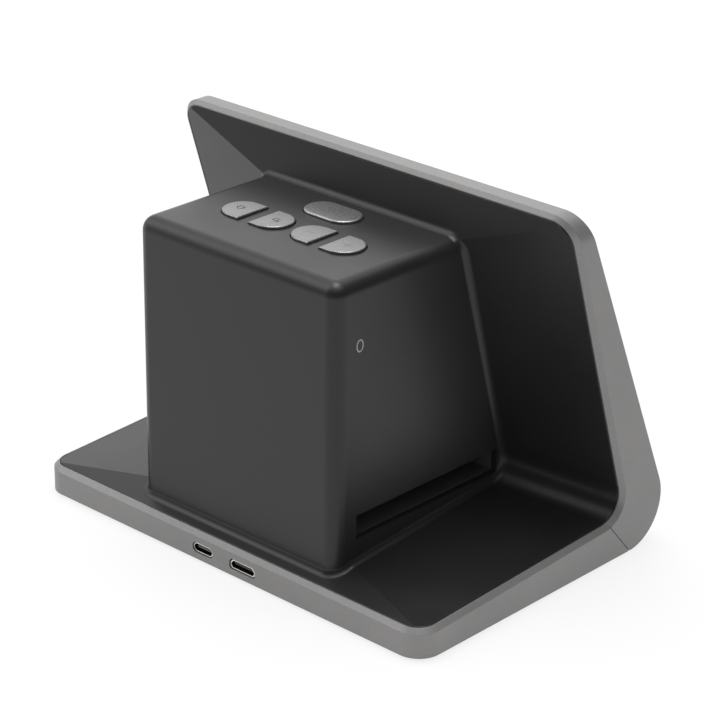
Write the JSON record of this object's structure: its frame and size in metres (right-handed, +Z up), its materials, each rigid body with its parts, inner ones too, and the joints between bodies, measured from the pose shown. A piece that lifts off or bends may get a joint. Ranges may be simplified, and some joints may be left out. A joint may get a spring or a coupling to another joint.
{
  "type": "film negative scanner",
  "caption": "Desktop film and slide scanner with a leaning screen, a faceted black rear cover, a through passage for film trays and round press buttons.",
  "frame": {"origin": "centre of the overall box at the level of the rubber feet's undersides", "axes": "+Z up, -Y towards the screen side, +Y towards the sockets, +X to the left as seen from the sockets' side"},
  "size_m": [0.178, 0.122, 0.1301],
  "materials": {
    "silver_frame": "moulded plastic under satin metallic grey paint, fine grain",
    "black_cover": "black moulded plastic, fine spark-eroded grain, satin",
    "button_grey": "light grey moulded plastic, satin",
    "scan_grey": "grey moulded plastic, satin",
    "mark_grey": "light grey ring printed in a shallow recess",
    "front_glass": "clear cover glass with a black printed border",
    "lcd_panel": "dark display panel",
    "bright_steel": "bright rolled steel sheet",
    "socket_metal": "nickel plated pressed sheet",
    "screw_steel": "black oxide steel",
    "circuit_board": "glass fibre board with green mask",
    "chip_black": "black epoxy",
    "gate_black": "black matt moulded plastic against stray light",
    "light_white": "white moulded plastic",
    "diffuser_white": "frosted opal plastic sheet",
    "lamp_white": "white lamp packages",
    "barrel_aluminium": "black anodised, turned",
    "lens_glass": "polished and coated",
    "ribbon_film": "amber flexible film",
    "foot_rubber": "matt black rubber"
  },
  "bodies": {
    "housing": {"base_screws": "screw_steel", "base_shell": "silver_frame", "board_screws": "screw_steel", "button_board": "circuit_board", "button_guide": "gate_black", "button_ribbon": "ribbon_film", "button_screws": "screw_steel", "camera_bracket": "gate_black", "camera_screws": "screw_steel", "diffuser": "diffuser_white", "feet": "foot_rubber", "front_bezel": "silver_frame", "gate_lower": "gate_black", "gate_mark": "mark_grey", "gate_screws": "screw_steel", "gate_upper": "gate_black", "hdmi_socket": "socket_metal", "image_sensor": "chip_black", "lcd_bracket": "bright_steel", "lcd_panel": "lcd_panel", "lcd_screws": "screw_steel", "lens_barrel": "barrel_aluminium", "lens_front": "lens_glass", "lens_rear": "lens_glass", "light_board": "circuit_board", "light_box": "light_white", "light_lamps": "lamp_white", "light_ribbon": "ribbon_film", "main_board": "circuit_board", "main_chips": "chip_black", "rear_cover": "black_cover", "screen_glass": "front_glass", "screen_ribbon": "ribbon_film", "sd_socket": "socket_metal", "sensor_board": "circuit_board", "sensor_ribbon": "ribbon_film", "sensor_screws": "screw_steel", "tact_switches": "chip_black", "tray_spring_left": "bright_steel", "tray_spring_right": "bright_steel", "usb_c_socket": "socket_metal"},
    "home_button": {"home_button": "button_grey"},
    "back_button": {"back_button": "button_grey"},
    "minus_button": {"minus_button": "button_grey"},
    "plus_button": {"plus_button": "button_grey"},
    "scan_button": {"scan_button": "scan_grey"}
  },
  "joints": [
    {"name": "home_button_press", "type": "slide", "parent": "housing", "child": "home_button", "axis": [0, 0, -1], "range_m": [0, 0.0006], "stiffness_N_per_m": 800},
    {"name": "back_button_press", "type": "slide", "parent": "housing", "child": "back_button", "axis": [0, 0, -1], "range_m": [0, 0.0006], "stiffness_N_per_m": 800},
    {"name": "minus_button_press", "type": "slide", "parent": "housing", "child": "minus_button", "axis": [0, 0, -1], "range_m": [0, 0.0006], "stiffness_N_per_m": 800},
    {"name": "plus_button_press", "type": "slide", "parent": "housing", "child": "plus_button", "axis": [0, 0, -1], "range_m": [0, 0.0006], "stiffness_N_per_m": 800},
    {"name": "scan_button_press", "type": "slide", "parent": "housing", "child": "scan_button", "axis": [0, 0, -1], "range_m": [0, 0.0006], "stiffness_N_per_m": 800}
  ]
}
